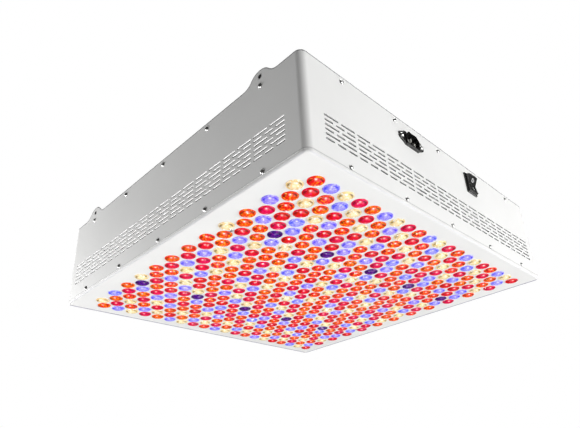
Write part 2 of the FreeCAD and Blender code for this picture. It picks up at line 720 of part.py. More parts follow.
# ---- lenses, emitters, boards and heat sinks ---------------------------------------------------


def lens_places():
    """The colour letter and the middle of each lens."""
    places = []
    pitch, row_pitch = size("lens_pitch"), size("row_pitch")
    for row, colours in enumerate(ROW_COLOURS):
        first = size(FIRST_ACROSS[row % 2])
        up = size(FIRST_ROW) + row * row_pitch
        for column in range(int(size("lens_columns"))):
            places.append((colours[column % len(colours)], first + column * pitch, up))
    return places


def revolved(profile):
    """A solid of revolution about Z from a half profile of edges closed through its corners."""
    face = Part.Face(Part.Wire(profile))
    return face.revolve(Vector(0, 0, 0), Z_AXIS, FULL_TURN)


def polyline(points):
    return [Part.LineSegment(start, end).toShape() for start, end in zip(points, points[1:])]


def lens_shape():
    """A lens: a cylinder through the plate, a low rim, a shallow crown, and a hollow over the emitter."""
    outer, crown = size("lens_radius"), size("lens_crown_radius")
    rim, apex = size("-lens_rim_drop"), size("-lens_crown_drop")
    top = size("board_foot")
    cup, ceiling = size("lens_cup_radius"), top - size("lens_cup_depth")
    bulge = rim - apex
    sphere = (crown * crown + bulge * bulge) / (2 * bulge)
    half_way = math.asin(crown / sphere) / 2
    middle = Vector(sphere * math.sin(half_way), 0, apex + sphere * (1 - math.cos(half_way)))
    dome = Part.Arc(Vector(0, 0, apex), middle, Vector(crown, 0, rim)).toShape()
    edges = [dome] + polyline(
        [
            Vector(crown, 0, rim), Vector(outer, 0, rim), Vector(outer, 0, top), Vector(cup, 0, top),
            Vector(cup, 0, ceiling), Vector(0, 0, ceiling), Vector(0, 0, apex),
        ]
    )
    return revolved(edges)


def emitter_shape():
    """An LED package hanging from the board's lower face, with its domed cap."""
    body_radius, base, cap = size("emitter_radius"), size("emitter_base"), size("emitter_dome")
    slant = cap * math.sqrt(0.5)
    middle = Vector(slant, 0, -base - slant)
    dome = Part.Arc(Vector(0, 0, -base - cap), middle, Vector(cap, 0, -base)).toShape()
    edges = [dome] + polyline(
        [
            Vector(cap, 0, -base), Vector(body_radius, 0, -base), Vector(body_radius, 0, 0),
            Vector(0, 0, 0), Vector(0, 0, -base - cap),
        ]
    )
    return revolved(edges)


def lenses_and_emitters():
    """One node of lenses and one of emitters for each colour."""
    lens, emitter = lens_shape(), emitter_shape()
    places = lens_places()
    board_face = size("board_foot")
    for letter, name in COLOUR_NAMES.items():
        spots = [(x, y) for colour, x, y in places if colour == letter]
        add_shape(f"lenses_{name}", solids_of([placed(lens, Vector(x, y, 0)) for x, y in spots]))
        below_board = [placed(emitter, Vector(x, y, board_face)) for x, y in spots]
        add_shape(f"emitters_{name}", solids_of(below_board))


BOARD_COUNT = 4


def board_middle(index):
    return f"{index - (BOARD_COUNT - 1) / 2} * board_columns * lens_pitch"


def strip_screw_holes(body, index):
    """Holes in one board or heat sink for the two plate screws that pass through it."""
    sketch = new_sketch(body, "XY_Plane")
    for across, up in plate_screw_rows():
        circle(sketch, f"{across} + {index} * plate_screw_columns * lens_pitch", up, "screw_hole_radius")
    return sketch


def strip_boards_and_sinks():
    """Four boards side by side, each with a finned heat sink on its back."""
    for index in range(BOARD_COUNT):
        board = new_body(f"led_board_{index + 1}")
        outline = new_sketch(board, "XY_Plane", "board_foot")
        width = "board_columns * lens_pitch - board_gap"
        rectangle(outline, board_middle(index), "0", width, "board_length")
        pad(board, outline, "board_thickness")
        pocket(board, strip_screw_holes(board, index), both_ways=True)

        sink = new_body(f"heat_sink_{index + 1}")
        base = new_sketch(sink, "XY_Plane", "board_foot + board_thickness")
        rectangle(base, board_middle(index), "0", "sink_width", "sink_length")
        pad(sink, base, "sink_base")
        first_fin = new_sketch(sink, "XY_Plane", "board_foot + board_thickness + sink_base")
        left = f"{board_middle(index)} - (sink_width - fin_thickness) / 2"
        rectangle(first_fin, left, "0", "fin_thickness", "sink_length")
        fin = pad(sink, first_fin, "fin_height")
        row_of(sink, fin, "X_Axis", "sink_width - fin_thickness", "fin_count")
        hole_depth = "board_foot + board_thickness + sink_base"
        pocket(sink, strip_screw_holes(sink, index), hole_depth, backwards=True)


# ---- fans --------------------------------------------------------------------------------------


FAN_CORNERS = ((-1, -1), (1, -1), (1, 1), (-1, 1))
FAN_TOP = "casing_top - wall_thickness"
FAN_FOOT = "casing_top - wall_thickness - fan_depth"


def fan_frame(label, across_sign, up_sign):
    """Square frame with a round air way, four arms, and a tube that the rotor's shaft turns in."""
    across, up = f"({across_sign}) * fan_offset", f"({up_sign}) * fan_offset"
    body = new_body(label)
    outline = new_sketch(body, "XY_Plane", FAN_FOOT)
    rectangle(outline, across, up, "fan_side", "fan_side")
    block = pad(body, outline, "fan_depth")
    fillet(body, block, lambda edge, at: runs_along(edge, Z_AXIS), "fan_corner")
    openings = new_sketch(body, "XY_Plane", FAN_FOOT)
    circle(openings, across, up, "fan_bore_radius")
    for dx, dy in FAN_CORNERS:
        circle(
            openings, f"{across} + ({dx}) * fan_hole_spacing / 2",
            f"{up} + ({dy}) * fan_hole_spacing / 2", "fan_hole_radius",
        )
    pocket(body, openings, both_ways=True)
    arm_span = "2 * (fan_bore_radius + arm_root)"
    for width, height in ((arm_span, "strut_width"), ("strut_width", arm_span)):
        arms = new_sketch(body, "XY_Plane", FAN_FOOT)
        rectangle(arms, across, up, width, height)
        pad(body, arms, "strut_height")
    disc = new_sketch(body, "XY_Plane", FAN_FOOT)
    circle(disc, across, up, "motor_plate_radius")
    pad(body, disc, "strut_height")
    tube = new_sketch(body, "XY_Plane", FAN_FOOT)
    circle(tube, across, up, "bearing_radius")
    pad(body, tube, "strut_height + bearing_length")
    bore = new_sketch(body, "XY_Plane", FAN_FOOT)
    circle(bore, across, up, "bearing_bore_radius")
    pocket(body, bore, both_ways=True)
    return body


def blade_section(radius, chord, pitch):
    """A thin rectangle across the air stream, at a radius along X, tilted to the pitch."""
    half_chord, half_thickness = chord / 2, size("blade_thickness") / 2
    corners = [
        Vector(radius, -half_chord, -half_thickness), Vector(radius, half_chord, -half_thickness),
        Vector(radius, half_chord, half_thickness), Vector(radius, -half_chord, half_thickness),
    ]
    wire = Part.makePolygon(corners + corners[:1])
    wire.rotate(Vector(0, 0, 0), X_AXIS, pitch)
    return wire


def rotor_shape():
    """Cup, shaft and pitched blades, about Z, with the cup's open end at height 0."""
    hub, wall, height = size("hub_radius"), size("hub_wall"), size("hub_height")
    cup = Part.makeCylinder(hub, height).cut(Part.makeCylinder(hub - wall, height - wall))
    cup = cup.makeFillet(wall / 2, [cup.Edges[0]])
    shaft_foot = size("-hub_clearance - strut_height / 2")
    shaft = Part.makeCylinder(size("shaft_radius"), height - shaft_foot - wall / 2, Vector(0, 0, shaft_foot))
    inner = hub - wall / 2
    tip = size("blade_tip_radius")
    blade = Part.makeLoft(
        [
            blade_section(inner, size("blade_root_chord"), size("blade_root_pitch")),
            blade_section(tip + wall, size("blade_tip_chord"), size("blade_tip_pitch")),
        ],
        True, True,
    )
    blade.translate(Vector(0, 0, height / 2))
    blade = blade.common(Part.makeCylinder(tip, height))
    count = int(size("blade_count"))
    blades = []
    for index in range(count):
        copy = blade.copy()
        copy.rotate(Vector(0, 0, 0), Z_AXIS, index * FULL_TURN / count)
        blades.append(copy)
    core = Part.makeCylinder(hub - wall, height - wall)
    blades = [copy.cut(core) for copy in blades]
    return cup.multiFuse([shaft] + blades).removeSplitter()


def guard_shape():
    """Wire finger guard about Z, lying on height 0: rings over two crossed wires with eyelets."""
    wire, weld = size("guard_wire_radius"), size("guard_weld")
    reach = size("fan_hole_spacing") / math.sqrt(2)
    eyelet = size("eyelet_radius")
    pieces = []
    ring_lift = 3 * wire - weld
    first, pitch = size("guard_ring_first"), size("guard_ring_pitch")
    for index in range(int(size("guard_ring_count"))):
        pieces.append(Part.makeTorus(first + index * pitch, wire, Vector(0, 0, ring_lift)))
    for quarter in QUARTERS:
        turn = Rotation(Z_AXIS, QUARTER_TURN / 2 + quarter * QUARTER_TURN)
        start = first - wire
        spoke = Part.makeCylinder(wire, reach - eyelet - start, Vector(start, 0, wire), X_AXIS)
        loop = Part.makeTorus(eyelet, wire, Vector(reach, 0, wire))
        pieces.append(placed(spoke.fuse(loop), Vector(0, 0, 0), turn))
    return pieces[0].multiFuse(pieces[1:])


def fans():
    """Four fans under the cover, each with a rotor of its own, and a guard above."""
    rotor, guard = rotor_shape(), guard_shape()
    rotor_foot = size(f"{FAN_FOOT} + strut_height + hub_clearance")
    offset, spacing = size("fan_offset"), size("fan_hole_spacing")
    screws = []
    head = size("head_height")
    screw = pan_screw(size("fan_shank_radius"), size("fan_screw_length"), size("fan_head_radius"), head)
    guard_top = size("casing_top + 2 * guard_wire_radius")
    for index, (across, up) in enumerate(FAN_CORNERS, start=1):
        fan_frame(f"fan_frame_{index}", across, up)
        centre = Vector(across * offset, up * offset, 0)
        add_shape(f"fan_rotor_{index}", placed(rotor, centre + Vector(0, 0, rotor_foot)))
        add_shape(f"fan_guard_{index}", placed(guard, centre + Vector(0, 0, size("casing_top"))))
        for dx, dy in FAN_CORNERS:
            spot = centre + Vector(dx * spacing / 2, dy * spacing / 2, guard_top)
            screws.append(placed(screw, spot))
    add_shape("fan_screws", solids_of(screws))


# ---- LED drivers -------------------------------------------------------------------------------


def led_driver(label, turn):
    """Sealed power supply hanging under the cover by its flange."""
    body = new_body(label, turn)
    flange = new_sketch(body, "XY_Plane", FAN_TOP)
    rectangle(flange, "driver_offset", "0", "flange_length", "driver_width")
    pad(body, flange, "flange_thickness", backwards=True)
    case = new_sketch(body, "XY_Plane", f"{FAN_TOP} - flange_thickness")
    rectangle(case, "driver_offset", "0", "driver_length", "driver_width")
    block = pad(body, case, "driver_height", backwards=True)
    foot = size(f"{FAN_TOP} - flange_thickness - driver_height")
    fillet(body, block, lambda edge, at: abs(at.z - foot) < TOUCHING, "driver_rounding")
    glands = new_sketch(body, "YZ_Plane", "driver_offset - driver_length / 2 - gland_length")
    circle(glands, "0", f"{FAN_TOP} - flange_thickness - driver_height / 2", "gland_radius")
    pad(body, glands, "driver_length + 2 * gland_length")
    holes = new_sketch(body, "XY_Plane", FAN_TOP)
    for side in SIDES:
        circle(holes, f"driver_offset + ({side}) * flange_hole_reach", "0", "screw_hole_radius")
    pocket(body, holes, both_ways=True)
    return body


def led_drivers():
    """Four drivers in the cross-shaped space between the fans, with their screws and nuts."""
    screw = pan_screw(
        size("shank_radius"), size("driver_screw_length"), size("head_radius"), size("head_height")
    )
    nut = hex_nut()
    nut_top = size(f"{FAN_TOP} - flange_thickness")
    screws, nuts = [], []
    for index in QUARTERS:
        turn = index * QUARTER_TURN
        led_driver(f"led_driver_{index + 1}", turn)
        rotation = Rotation(Z_AXIS, turn)
        for side in SIDES:
            reach = size(f"driver_offset + ({side}) * flange_hole_reach")
            spot = rotation.multVec(Vector(reach, 0, 0))
            screws.append(placed(screw, spot + Vector(0, 0, size("casing_top"))))
            nuts.append(placed(nut, spot + Vector(0, 0, nut_top)))
    add_shape("driver_screws", solids_of(screws))
    add_shape("driver_nuts", solids_of(nuts))


NUT_SIDES = 6


def hex_nut():
    """An M3 nut hanging below height 0."""
    radius, height = size("nut_radius"), size("nut_height")
    corner = Vector(radius, 0, -height)
    corners = [Rotation(Z_AXIS, step * FULL_TURN / NUT_SIDES).multVec(corner) for step in range(NUT_SIDES)]
    prism = Part.Face(Part.makePolygon(corners + corners[:1])).extrude(Vector(0, 0, height))
    return prism.cut(Part.makeCylinder(size("tapped_hole_radius"), height, Vector(0, 0, -height)))


# ---- mains inlet and switch --------------------------------------------------------------------


def pin_rectangles(sketch, play):
    """The three pins of the inlet: live and neutral level, earth above and between them."""
    for side in SIDES:
        rectangle(
            sketch, f"inlet_across + ({side}) * pin_spacing / 2", "inlet_height - pin_rise",
            f"pin_width + 2 * {play}", f"pin_tall + 2 * {play}",
        )
    rectangle(
        sketch, "inlet_across", "inlet_height + pin_rise",
        f"pin_width + 2 * {play}", f"pin_tall + 2 * {play}",
    )


def cut_corner_outline(length, height, chamfer):
    """Corners of a rectangle about the inlet's middle, with its two upper corners cut off."""
    left, right = f"inlet_across - {length} / 2", f"inlet_across + {length} / 2"
    low, high = f"inlet_height - {height} / 2", f"inlet_height + {height} / 2"
    return (
        (left, low), (right, low), (right, f"{high} - {chamfer}"), (f"{right} - {chamfer}", high),
        (f"{left} + {chamfer}", high), (left, f"{high} - {chamfer}"),
    )


def inlet_housing():
    """Black housing of the mains inlet: pointed flange, raised collar, rear body and socket."""
    body = new_body("inlet_housing")
    flange = new_sketch(body, "XZ_Plane", WALL_FACE)
    tip, flat = "inlet_flange_length / 2", "inlet_flange_flat / 2"
    end, edge = "inlet_flange_end / 2", "inlet_flange_height / 2"
    corners = (
        (f"-{tip}", f"-{end}"), (f"-{flat}", f"-{edge}"), (flat, f"-{edge}"), (tip, f"-{end}"),
        (tip, end), (flat, edge), (f"-{flat}", edge), (f"-{tip}", end),
    )
    polygon(flange, [(f"inlet_across + ({x})", f"inlet_height + ({z})") for x, z in corners])
    blank = pad(body, flange, "inlet_flange_thickness")
    rounded = fillet(body, blank, lambda edge, at: runs_along(edge, Y_AXIS), "inlet_flange_rounding")
    front = size(f"-{WALL_FACE} - inlet_flange_thickness")
    fillet(body, rounded, lambda edge, at: abs(at.y - front) < TOUCHING, "inlet_edge_rounding")
    collar = new_sketch(body, "XZ_Plane", WALL_FACE)
    polygon(collar, cut_corner_outline("collar_length", "collar_height", "collar_chamfer"))
    raised = pad(body, collar, "inlet_flange_thickness + collar_rise")
    collar_face = size(f"-{WALL_FACE} - inlet_flange_thickness - collar_rise")
    fillet(body, raised, lambda edge, at: abs(at.y - collar_face) < TOUCHING, "inlet_edge_rounding")
    rear = new_sketch(body, "XZ_Plane", WALL_FACE)
    rectangle(rear, "inlet_across", "inlet_height", "inlet_body_length", "inlet_body_height")
    pad(body, rear, "inlet_body_depth", backwards=True)
    socket = new_sketch(body, "XZ_Plane", f"{WALL_FACE} + inlet_flange_thickness + collar_rise")
    polygon(socket, cut_corner_outline("socket_length", "socket_height", "socket_chamfer"))
    pocket(body, socket, "socket_depth")
    seats = new_sketch(body, "XZ_Plane", WALL_FACE)
    pin_rectangles(seats, "pin_play")
    pocket(body, seats, both_ways=True)
    holes = new_sketch(body, "XZ_Plane", WALL_FACE)
    for side in SIDES:
        across = f"inlet_across + ({side}) * inlet_screw_spacing / 2"
        circle(holes, across, "inlet_height", "tapped_hole_radius")
    pocket(body, holes, both_ways=True)
    return body


def inlet_pins():
    """Three flat pins whose tails stick out behind the housing."""
    recess = size("inlet_flange_thickness + collar_rise - pin_recess")
    front = size(f"-{WALL_FACE}") - recess
    width, tall, tail = size("pin_width"), size("pin_tall"), size("pin_tail")
    x, z, rise = size("inlet_across"), size("inlet_height"), size("pin_rise")
    half = size("pin_spacing / 2")
    pins = []
    for across, up in ((x - half, z - rise), (x, z + rise), (x + half, z - rise)):
        corner = Vector(across - width / 2, front, up - tall / 2)
        pins.append(Part.makeBox(width, tail + recess, tall, corner))
    add_shape("inlet_pins", solids_of(pins))


def inlet_fixings():
    """Two screws through the flange and the wall, with nuts inside."""
    screw = pan_screw(
        size("shank_radius"), size("inlet_screw_length"), size("head_radius"), size("head_height")
    )
    outward = Rotation(X_AXIS, QUARTER_TURN)
    flange_face = size("-panel_side / 2 - inlet_flange_thickness")
    wall_back = size("-panel_side / 2 + wall_thickness")
    nut = hex_nut()
    screws, nuts = [], []
    for side in SIDES:
        across = size(f"inlet_across + ({side}) * inlet_screw_spacing / 2")
        screws.append(placed(screw, Vector(across, flange_face, size("inlet_height")), outward))
        nuts.append(placed(nut, Vector(across, wall_back, size("inlet_height")), outward))
    add_shape("inlet_screws", solids_of(screws))
    add_shape("inlet_nuts", solids_of(nuts))


def switch_housing():
    """Black housing of the rocker switch: bezel, body behind the wall, and the rocker's well."""
    body = new_body("switch_housing")
    bezel = new_sketch(body, "XZ_Plane", WALL_FACE)
    rectangle(bezel, "switch_across", "switch_height", "bezel_width", "bezel_tall")
    blank = pad(body, bezel, "bezel_thickness")
    rounded = fillet(body, blank, lambda edge, at: runs_along(edge, Y_AXIS), "bezel_rounding")
    front = size(f"-{WALL_FACE} - bezel_thickness")
    fillet(body, rounded, lambda edge, at: abs(at.y - front) < TOUCHING, "bezel_rounding / 2")
    rear = new_sketch(body, "XZ_Plane", WALL_FACE)
    rectangle(rear, "switch_across", "switch_height", "switch_body_width", "switch_body_tall")
    pad(body, rear, "switch_body_depth", backwards=True)
    well = new_sketch(body, "XZ_Plane", f"{WALL_FACE} + bezel_thickness")
    rectangle(well, "switch_across", "switch_height", "switch_well_width", "switch_well_tall")
    pocket(body, well, "switch_well_depth + bezel_thickness")
    pivot = new_sketch(body, "YZ_Plane", "switch_across - switch_well_width / 2 - pivot_length - pivot_play")
    circle(pivot, f"-{WALL_FACE}", "switch_height", "pivot_radius + pivot_play")
    pocket(body, pivot, "switch_well_width + 2 * pivot_length + 2 * pivot_play", backwards=True)
    seats = new_sketch(body, "XZ_Plane", f"{WALL_FACE} - switch_body_depth")
    for side in SIDES:
        rectangle(
            seats, "switch_across", f"switch_height + ({side}) * terminal_rise",
            "terminal_width + 2 * pin_play", "terminal_thickness + 2 * pin_play",
        )
    pocket(body, seats, "terminal_length / 2", backwards=True)
    return body


def switch_rocker():
    """Rocker: a shallow V face, round ends about its pivot, and two stubs. The lower end is pressed in."""
    width, reach = size("rocker_width"), size("rocker_radius")
    valley, tip, back = size("rocker_valley"), size("rocker_tip"), size("rocker_back")
    edge_height = math.sqrt(reach * reach - tip * tip)
    block = Part.makeCylinder(reach, width, Vector(-width / 2, 0, 0), X_AXIS)
    tip_height = edge_height + reach
    tip_out = valley + (tip - valley) * tip_height / edge_height
    outline = [
        Vector(-width / 2, back, -tip_height), Vector(-width / 2, -tip_out, -tip_height),
        Vector(-width / 2, -valley, 0), Vector(-width / 2, -tip_out, tip_height),
        Vector(-width / 2, back, tip_height),
    ]
    prism = Part.Face(Part.makePolygon(outline + outline[:1])).extrude(Vector(width, 0, 0))
    rocker = block.common(prism)
    stub = size("pivot_radius")
    reach_out = width / 2 + size("(switch_well_width - rocker_width) / 2 + pivot_length")
    rocker = rocker.fuse(Part.makeCylinder(stub, 2 * reach_out, Vector(-reach_out, 0, 0), X_AXIS))
    rocker = rocker.removeSplitter()
    rocker.rotate(Vector(0, 0, 0), X_AXIS, size("rocker_throw"))
    spot = Vector(size("switch_across"), size(f"-{WALL_FACE}"), size("switch_height"))
    rocker.translate(spot)
    add_shape("switch_rocker", rocker)


def switch_terminals():
    """Two flat tabs behind the switch."""
    width, thickness = size("terminal_width"), size("terminal_thickness")
    seat, length = size("terminal_length / 2"), size("terminal_length")
    back = size("switch_body_depth - panel_side / 2")
    tabs = []
    for side in SIDES:
        z = size(f"switch_height + ({side}) * terminal_rise")
        corner = Vector(size("switch_across") - width / 2, back - seat, z - thickness / 2)
        tabs.append(Part.makeBox(width, seat + length, thickness, corner))
    add_shape("switch_terminals", solids_of(tabs))


# ---- terminal block, earth stud and mains leads ------------------------------------------------


def block_way(index):
    return f"({index} - (block_ways - 1) / 2) * block_pitch"


def terminal_block():
    """Plastic terminal block under the cover, with a wire hole below each way."""
    body = new_body("terminal_block")
    outline = new_sketch(body, "XY_Plane", FAN_TOP)
    rectangle(outline, "0", "-block_setback", "block_length", "block_width")
    pad(body, outline, "block_height", backwards=True)
    holes = new_sketch(body, "XY_Plane", f"{FAN_TOP} - block_height")
    for index in range(int(size("block_ways"))):
        circle(holes, block_way(index), "-block_setback", "block_hole_radius")
    pocket(body, holes, "block_hole_depth", backwards=True)
    return body


def earth_stud():
    """Threaded stud welded under the cover for the earth lead."""
    top = size(FAN_TOP)
    length = size("stud_length")
    stud = Part.makeCylinder(
        size("stud_radius"), length, Vector(size("inlet_across"), size("-stud_setback"), top - length)
    )
    add_shape("earth_stud", stud)


# Share of the shorter of two runs that the bend between them takes.
BEND_SHARE = 0.45


def lead_shape(points):
    """A round lead along straight runs joined by tangent arcs."""
    runs = [end - start for start, end in zip(points, points[1:])]
    edges = []
    here = points[0]
    for index in range(1, len(points) - 1):
        before, after = runs[index - 1], runs[index]
        turn = before.getAngle(after)
        shorter = min(before.Length, after.Length)
        setback = BEND_SHARE * shorter
        radius = setback / math.tan(turn / 2)
        into = Vector(before).normalize()
        out = Vector(after).normalize()
        start, end = points[index] - into * setback, points[index] + out * setback
        inward = (out - into).normalize()
        middle = points[index] + inward * (radius / math.cos(turn / 2) - radius)
        edges.append(Part.LineSegment(here, start).toShape())
        edges.append(Part.Arc(start, middle, end).toShape())
        here = end
    edges.append(Part.LineSegment(here, points[-1]).toShape())
    path = Part.Wire(edges)
    section = Part.Wire(Part.makeCircle(size("lead_radius"), points[0], runs[0]))
    return path.makePipeShell([section], True, True)


def mains_leads():
    """Leads from the inlet to the switch, the terminal block and the earth stud."""
    face = size("-panel_side / 2")
    tail = face + size("pin_tail")
    x, z, rise = size("inlet_across"), size("inlet_height"), size("pin_rise")
    half = size("pin_spacing / 2")
    run = size("-lead_setback")
    tab_end = face + size("switch_body_depth + terminal_length")
    switch_x = size("switch_across")
    upper, lower = size("switch_height + terminal_rise"), size("switch_height - terminal_rise")
    way_y = size("-block_setback")
    way_z = size(f"{FAN_TOP} - block_height + block_hole_depth")
    low = z - rise - size("lead_drop")
    left_way, right_way = size(block_way(0)), size(block_way(2))
    routes = {
        "lead_live_in": [
            Vector(x + half, tail, z - rise), Vector(x + half, run, z - rise),
            Vector(switch_x, run, upper), Vector(switch_x, tab_end, upper),
        ],
        "lead_live_out": [
            Vector(switch_x, tab_end, lower), Vector(switch_x, run, lower), Vector(right_way, run, lower),
            Vector(right_way, way_y, lower), Vector(right_way, way_y, way_z),
        ],
        "lead_neutral": [
            Vector(x - half, tail, z - rise), Vector(x - half, run, z - rise), Vector(x - half, run, low),
            Vector(left_way, run, low), Vector(left_way, way_y, low), Vector(left_way, way_y, way_z),
        ],
        "lead_earth": [
            Vector(x, tail, z + rise), Vector(x, size("-stud_setback"), z + rise),
            Vector(x, size("-stud_setback"), size(f"{FAN_TOP} - stud_length")),
        ],
    }
    for label, points in routes.items():
        add_shape(label, lead_shape(points))


# ---- the whole light ---------------------------------------------------------------------------


def build():
    fill_sheet()
    lens_tray()
    long_wall("wall_front", 0, with_sockets=True)
    long_wall("wall_back", HALF_TURN, with_sockets=False)
    ear_wall("wall_left", 0)
    ear_wall("wall_right", HALF_TURN)
    top_cover()
    casing_screws()
    plate_fixings()
    lenses_and_emitters()
    strip_boards_and_sinks()
    fans()
    led_drivers()
    inlet_housing()
    inlet_pins()
    inlet_fixings()
    switch_housing()
    switch_rocker()
    switch_terminals()
    terminal_block()
    earth_stud()
    mains_leads()
    doc.recompute()


def check():
    """Stops with a message if any object failed or any sub-part isn't a sound solid."""
    for thing in doc.Objects:
        if "Invalid" in thing.State or "Error" in thing.State:
            raise RuntimeError(f"{thing.Label} ({thing.Name}) failed: {thing.State}")
    for thing in sub_parts:
        if thing.Shape.isNull() or not thing.Shape.isValid() or not thing.Shape.Solids:
            raise RuntimeError(f"{thing.Label} has no sound shape")


def export():
    os.makedirs("parts", exist_ok=True)
    for thing in sub_parts:
        thing.Shape.exportStep(os.path.join("parts", f"{thing.Label}.step"))
        print(f"{thing.Label}: {len(thing.Shape.Solids)} solid(s), {thing.Shape.Volume / 1000:.2f} cm3")


build()
check()
export()
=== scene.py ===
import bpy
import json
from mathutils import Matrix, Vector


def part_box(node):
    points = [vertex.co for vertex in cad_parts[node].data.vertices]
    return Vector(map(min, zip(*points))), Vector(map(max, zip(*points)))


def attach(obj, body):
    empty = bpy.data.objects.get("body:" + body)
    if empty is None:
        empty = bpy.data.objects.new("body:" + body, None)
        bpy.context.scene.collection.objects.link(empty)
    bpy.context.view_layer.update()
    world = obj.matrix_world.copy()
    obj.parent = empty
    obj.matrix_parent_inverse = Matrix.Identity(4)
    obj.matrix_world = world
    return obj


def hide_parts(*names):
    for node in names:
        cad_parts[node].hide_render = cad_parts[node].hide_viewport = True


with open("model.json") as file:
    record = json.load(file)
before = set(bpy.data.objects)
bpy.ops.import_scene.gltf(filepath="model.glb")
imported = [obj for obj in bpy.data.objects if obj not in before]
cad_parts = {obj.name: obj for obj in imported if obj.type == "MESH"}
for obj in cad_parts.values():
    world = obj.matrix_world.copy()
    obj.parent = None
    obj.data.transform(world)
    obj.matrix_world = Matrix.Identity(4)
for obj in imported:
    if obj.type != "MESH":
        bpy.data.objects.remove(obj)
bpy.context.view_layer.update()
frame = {"nodes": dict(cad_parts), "record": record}

# LED grow light hung in the air: a white powder-coated sheet-metal casing seen from below, with
# 500 coloured lenses in its lower plate. Metres, in the CAD frame: +Z up, front wall facing -Y.

import json
import math
import random

import bmesh
import bpy
import numpy as np
from mathutils import Vector
from mathutils.bvhtree import BVHTree

MM = 0.001

# ---- places read from the frame ----------------------------------------------------------------

tray_low, tray_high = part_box("lens_tray")
PLATE_Z = tray_low.z                      # lower face of the lens plate
HALF_SIDE = tray_high.x                   # half the width of the casing and of the lens plate
FRONT_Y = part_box("wall_front")[0].y       # outer face of the front wall


# ---- small helpers -----------------------------------------------------------------------------


def link(obj):
    bpy.context.scene.collection.objects.link(obj)
    return obj


def mesh_object(name, verts, faces, smooth=True):
    mesh = bpy.data.meshes.new(name)
    mesh.from_pydata([tuple(v) for v in verts], [], [tuple(f) for f in faces])
    mesh.update()
    if smooth:
        mesh.polygons.foreach_set("use_smooth", [True] * len(mesh.polygons))
    return link(bpy.data.objects.new(name, mesh))


def turn_faces_out(piece):
    edit = bmesh.new()
    edit.from_mesh(piece.data)
    bmesh.ops.recalc_face_normals(edit, faces=edit.faces)
    edit.to_mesh(piece.data)
    edit.free()


def mount_piece(piece, body, slot, material, *replaced):
    """Lets a finished piece ride on its body, wear its material and stand for the nodes it
    replaces.
    The slot is not used.
    """
    piece.data.materials.clear()
    piece.data.materials.append(material)
    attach(piece, body)
    if replaced:
        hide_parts(*replaced)
    return piece


# ---- materials ---------------------------------------------------------------------------------


# The Mix node's colour inputs and output, which share their names with those for numbers.
MIX_FIRST, MIX_SECOND, MIX_RESULT = 6, 7, 2


class Nodes:
    """A short way to write a material's node tree."""

    def __init__(self, name):
        self.material = bpy.data.materials.new(name)
        self.material.use_nodes = True
        self.tree = self.material.node_tree
        self.shader = self.tree.nodes["Principled BSDF"]

    def add(self, kind, **settings):
        node = self.tree.nodes.new(kind)
        for key, value in settings.items():
            setattr(node, key, value)
        return node

    def join(self, source, target):
        self.tree.links.new(source, target)

    def set(self, **values):
        for key, value in values.items():
            self.shader.inputs[key.replace("_", " ")].default_value = value

    def coordinates(self):
        return self.add("ShaderNodeTexCoord").outputs["Object"]

    def noise(self, scale, detail=3.0, roughness=0.5, vector=None):
        node = self.add("ShaderNodeTexNoise")
        node.inputs["Scale"].default_value = scale
        node.inputs["Detail"].default_value = detail
        node.inputs["Roughness"].default_value = roughness
        self.join(vector or self.coordinates(), node.inputs["Vector"])
        return node.outputs["Fac"]

    def ramp(self, source, stops):
        node = self.add("ShaderNodeValToRGB")
        elements = node.color_ramp.elements
        while len(elements) < len(stops):
            elements.new(0.5)
        for element, (position, colour) in zip(elements, stops):
            element.position = position
            element.color = (*colour, 1.0)
        self.join(source, node.inputs["Fac"])
        return node.outputs["Color"]

    def blend(self, factor, first, second):
        """One colour over another. The second may be a plain colour."""
        node = self.add("ShaderNodeMix", data_type="RGBA")
        self.join(factor, node.inputs["Factor"])
        self.join(first, node.inputs[MIX_FIRST])
        node.inputs[MIX_SECOND].default_value = (*second, 1.0)
        return node.outputs[MIX_RESULT]

    def calculate(self, operation, *values):
        node = self.add("ShaderNodeMath", operation=operation)
        for value, socket in zip(values, node.inputs):
            self.join(value, socket)
        return node.outputs["Value"]

    def rise(self, vector):
        """The Z part of a vector."""
        node = self.add("ShaderNodeSeparateXYZ")
        self.join(vector, node.inputs["Vector"])
        return node.outputs["Z"]

    def spread(self, source, low, high, source_low=0.3, source_high=0.7):
        node = self.add("ShaderNodeMapRange")
        node.inputs["From Min"].default_value = source_low
        node.inputs["From Max"].default_value = source_high
        node.inputs["To Min"].default_value = low
        node.inputs["To Max"].default_value = high
        self.join(source, node.inputs["Value"])
        return node.outputs["Result"]

    def bump(self, height, distance, strength=1.0):
        node = self.add("ShaderNodeBump")
        node.inputs["Strength"].default_value = strength
        node.inputs["Distance"].default_value = distance
        self.join(height, node.inputs["Height"])
        self.join(node.outputs["Normal"], self.shader.inputs["Normal"])

    def true_rise(self):
        """How far a face looks up: 1 straight up, -1 straight down."""
        return self.rise(self.add("ShaderNodeNewGeometry").outputs["True Normal"])


def powder_coat(name):
    """Satin white powder coat: orange peel about a millimetre across, fine grains in the gloss and
    a slow drift of the white. Returns the unfinished material and its white."""
    made = Nodes(name)
    made.join(made.spread(made.noise(300.0), 0.48, 0.58), made.shader.inputs["Roughness"])
    made.bump(made.noise(900.0, detail=2.0), 0.04 * MM, strength=0.35)
    return made, made.ramp(made.noise(9.0), ((0.3, (0.80, 0.80, 0.79)), (0.7, (0.84, 0.84, 0.83))))


# Where the plate's painted shade lines under its fold fade in, back from its edges, and how strong
# the near sides' line is.
FAR_LINE_START, FAR_LINE_FULL = HALF_SIDE - 4.8 * MM, HALF_SIDE - 4.4 * MM
NEAR_LINE_START, NEAR_LINE_FULL = HALF_SIDE - 1.8 * MM, HALF_SIDE - 1.2 * MM
NEAR_LINE_STRENGTH = 0.25
FOLD_SHADE_GREY = (0.26, 0.25, 0.34)


